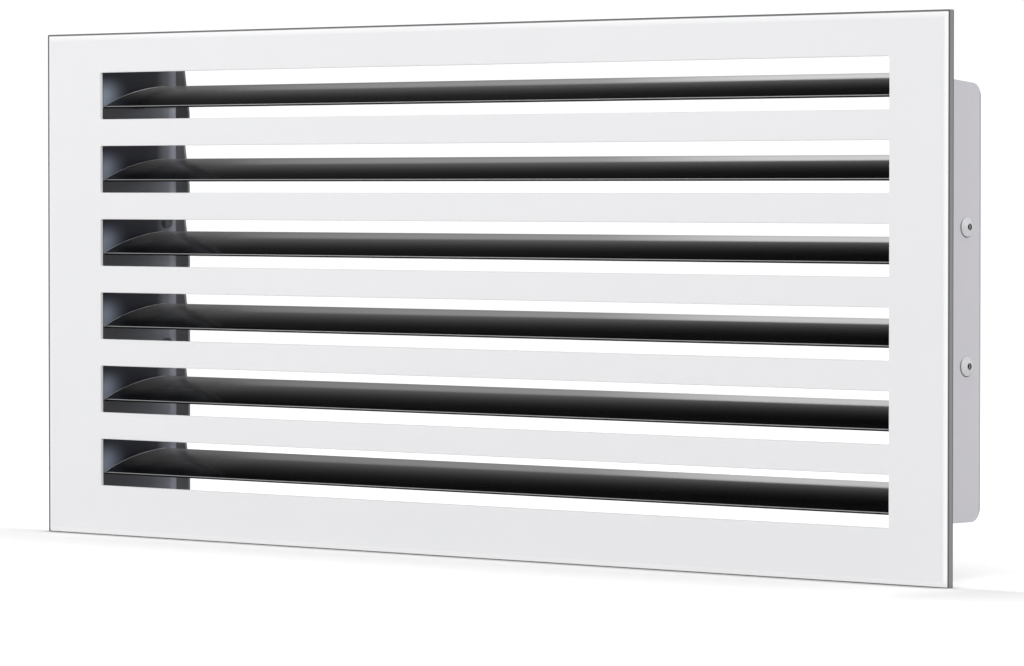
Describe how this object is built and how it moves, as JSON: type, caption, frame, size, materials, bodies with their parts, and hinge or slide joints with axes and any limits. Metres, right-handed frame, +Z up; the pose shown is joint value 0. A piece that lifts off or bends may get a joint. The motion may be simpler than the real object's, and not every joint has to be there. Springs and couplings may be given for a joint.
{
  "type": "vent cover",
  "caption": "White steel cover for a wall duct: long slots in a folded faceplate, each with a curved black blade behind it that tips to aim or shut off the air.",
  "frame": {"origin": "middle of the wall plane: the plane of the faceplate rim's rear edge, halfway across and halfway up the faceplate", "axes": "+X along the slots, to the right for someone facing the cover; +Y from the room into the duct; +Z up the wall"},
  "size_m": [0.4508, 0.0458, 0.1968],
  "materials": {
    "white_powder_coat": "satin white powder coat",
    "pale_grey_coat": "satin pale grey powder coat",
    "black_enamel": "glossy black baked enamel",
    "dark_end_enamel": "satin blue-black enamel",
    "rivet_aluminium": "bare, slightly dull",
    "rivet_steel": "zinc plated",
    "bush_plastic": "moulded black"
  },
  "bodies": {
    "frame": {"faceplate": "white_powder_coat", "side_bracket_left": "pale_grey_coat", "side_bracket_right": "pale_grey_coat", "end_plate_left": "dark_end_enamel", "end_plate_right": "dark_end_enamel", "blind_rivets": "rivet_aluminium", "rivet_mandrels": "rivet_steel"},
    "louvre_1": {"blade_1": "black_enamel", "pivot_clips_1": "black_enamel", "pivot_rivets_1": "rivet_steel", "pivot_bushes_1": "bush_plastic"},
    "louvre_2": {"blade_2": "black_enamel", "pivot_clips_2": "black_enamel", "pivot_rivets_2": "rivet_steel", "pivot_bushes_2": "bush_plastic"},
    "louvre_3": {"blade_3": "black_enamel", "pivot_clips_3": "black_enamel", "pivot_rivets_3": "rivet_steel", "pivot_bushes_3": "bush_plastic"},
    "louvre_4": {"blade_4": "black_enamel", "pivot_clips_4": "black_enamel", "pivot_rivets_4": "rivet_steel", "pivot_bushes_4": "bush_plastic"},
    "louvre_5": {"blade_5": "black_enamel", "pivot_clips_5": "black_enamel", "pivot_rivets_5": "rivet_steel", "pivot_bushes_5": "bush_plastic"},
    "louvre_6": {"blade_6": "black_enamel", "pivot_clips_6": "black_enamel", "pivot_rivets_6": "rivet_steel", "pivot_bushes_6": "bush_plastic"}
  },
  "joints": [
    {"name": "blade_1_tip", "type": "hinge", "parent": "frame", "child": "louvre_1", "pos_m": [0.0026, 0.018, 0.07162], "axis": [1, 0, 0], "range_deg": [-40, 40]},
    {"name": "blade_2_tip", "type": "hinge", "parent": "frame", "child": "louvre_2", "pos_m": [0.0026, 0.018, 0.04288], "axis": [1, 0, 0], "range_deg": [-40, 40]},
    {"name": "blade_3_tip", "type": "hinge", "parent": "frame", "child": "louvre_3", "pos_m": [0.0026, 0.018, 0.01413], "axis": [1, 0, 0], "range_deg": [-40, 40]},
    {"name": "blade_4_tip", "type": "hinge", "parent": "frame", "child": "louvre_4", "pos_m": [0.0026, 0.018, -0.01463], "axis": [1, 0, 0], "range_deg": [-40, 40]},
    {"name": "blade_5_tip", "type": "hinge", "parent": "frame", "child": "louvre_5", "pos_m": [0.0026, 0.018, -0.04337], "axis": [1, 0, 0], "range_deg": [-40, 40]},
    {"name": "blade_6_tip", "type": "hinge", "parent": "frame", "child": "louvre_6", "pos_m": [0.0026, 0.018, -0.07212], "axis": [1, 0, 0], "range_deg": [-40, 40]}
  ]
}
